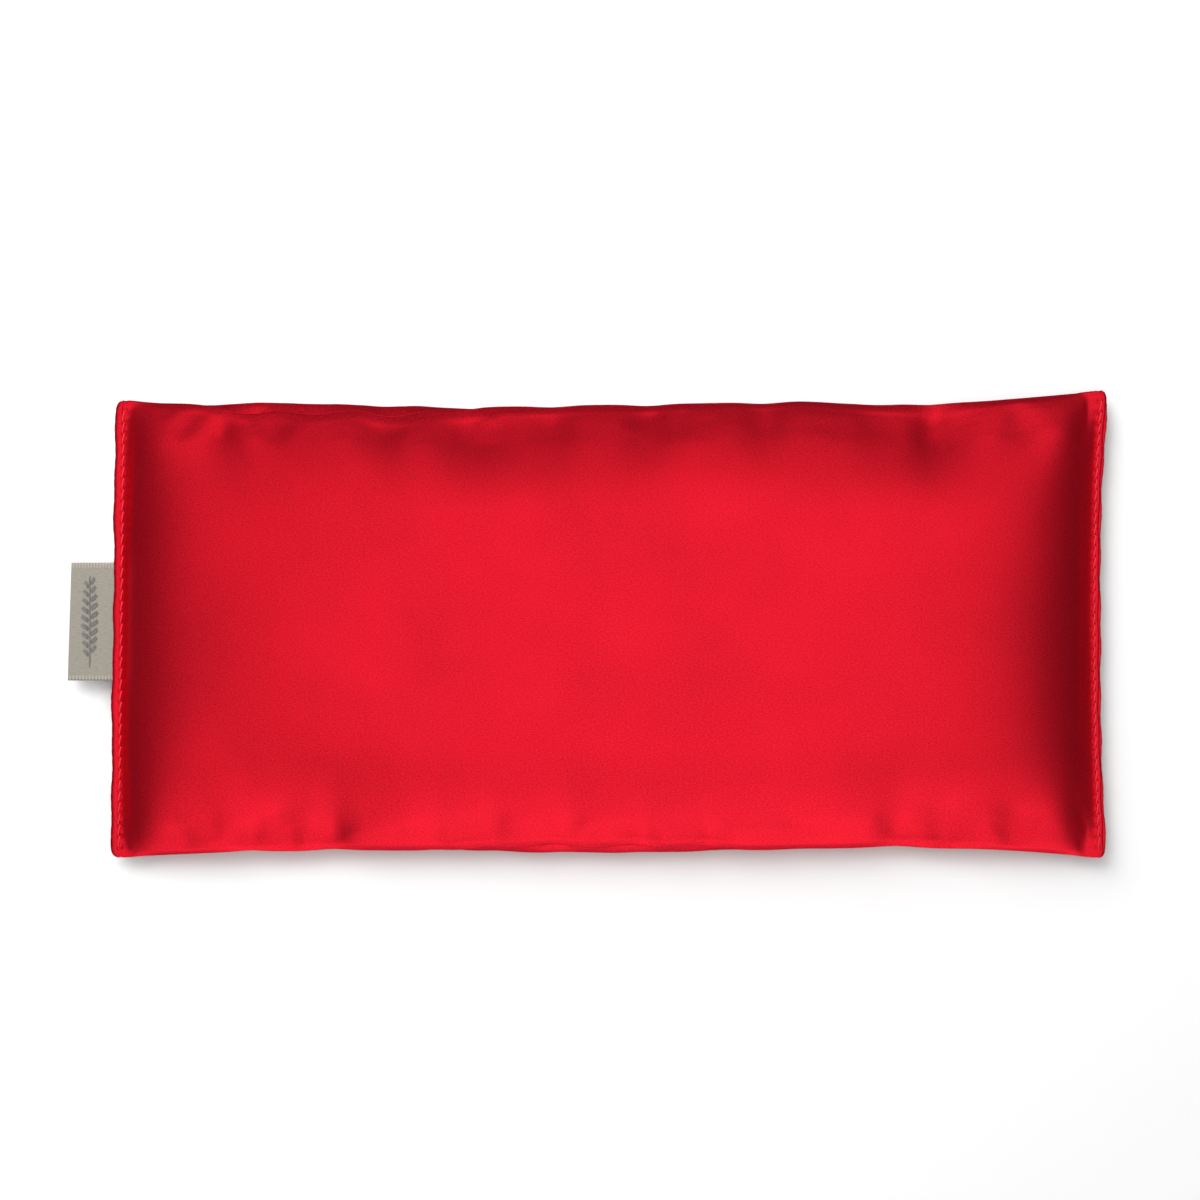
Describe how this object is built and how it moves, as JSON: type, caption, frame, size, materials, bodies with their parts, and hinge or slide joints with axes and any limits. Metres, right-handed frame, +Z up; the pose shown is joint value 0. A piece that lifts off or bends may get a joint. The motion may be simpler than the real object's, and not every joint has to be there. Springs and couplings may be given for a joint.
{
  "type": "eye pillow",
  "caption": "Rectangular silk eye pillow, flax and lavender filled, stitched flat ends, turned side seams and a woven ribbon label at one end",
  "frame": {"origin": "centre of the flat underside that the pillow rests on", "axes": "+X along the pillow away from the label, +Y across its width, +Z up through its thickness"},
  "size_m": [0.2516, 0.11, 0.019],
  "materials": {
    "silk": "lustrous satin-woven silk, deep red",
    "sewing_thread": "two-ply sewing thread matched to the silk",
    "muslin": "unbleached plain-woven cotton",
    "cotton_thread": "matt cotton thread",
    "flax_seed": "loose glossy brown flax seed",
    "lavender": "dried lavender buds",
    "ribbon": "woven taupe ribbon",
    "ribbon_figure": "raised grey weft figure"
  },
  "bodies": {
    "pillow": {"cover_front": "silk", "cover_back": "silk", "pouch_front": "muslin", "pouch_back": "muslin", "seed_fill": "flax_seed", "lavender_buds": "lavender", "label_tails": "ribbon", "label_end_needle_thread": "sewing_thread", "label_end_bobbin_thread": "sewing_thread", "plain_end_needle_thread": "sewing_thread", "plain_end_bobbin_thread": "sewing_thread", "far_side_needle_thread": "sewing_thread", "far_side_bobbin_thread": "sewing_thread", "near_side_needle_thread": "sewing_thread", "near_side_bobbin_thread": "sewing_thread", "pouch_seam_thread": "cotton_thread"},
    "label": {"label_tab": "ribbon", "label_motif": "ribbon_figure"}
  },
  "joints": [
    {"name": "label_flip", "type": "hinge", "parent": "pillow", "child": "label", "pos_m": [-0.121, 0.0017, 0.0046], "axis": [0, 1, 0], "range_deg": [-112, 112], "stiffness_Nm_per_rad": 0.0001}
  ]
}
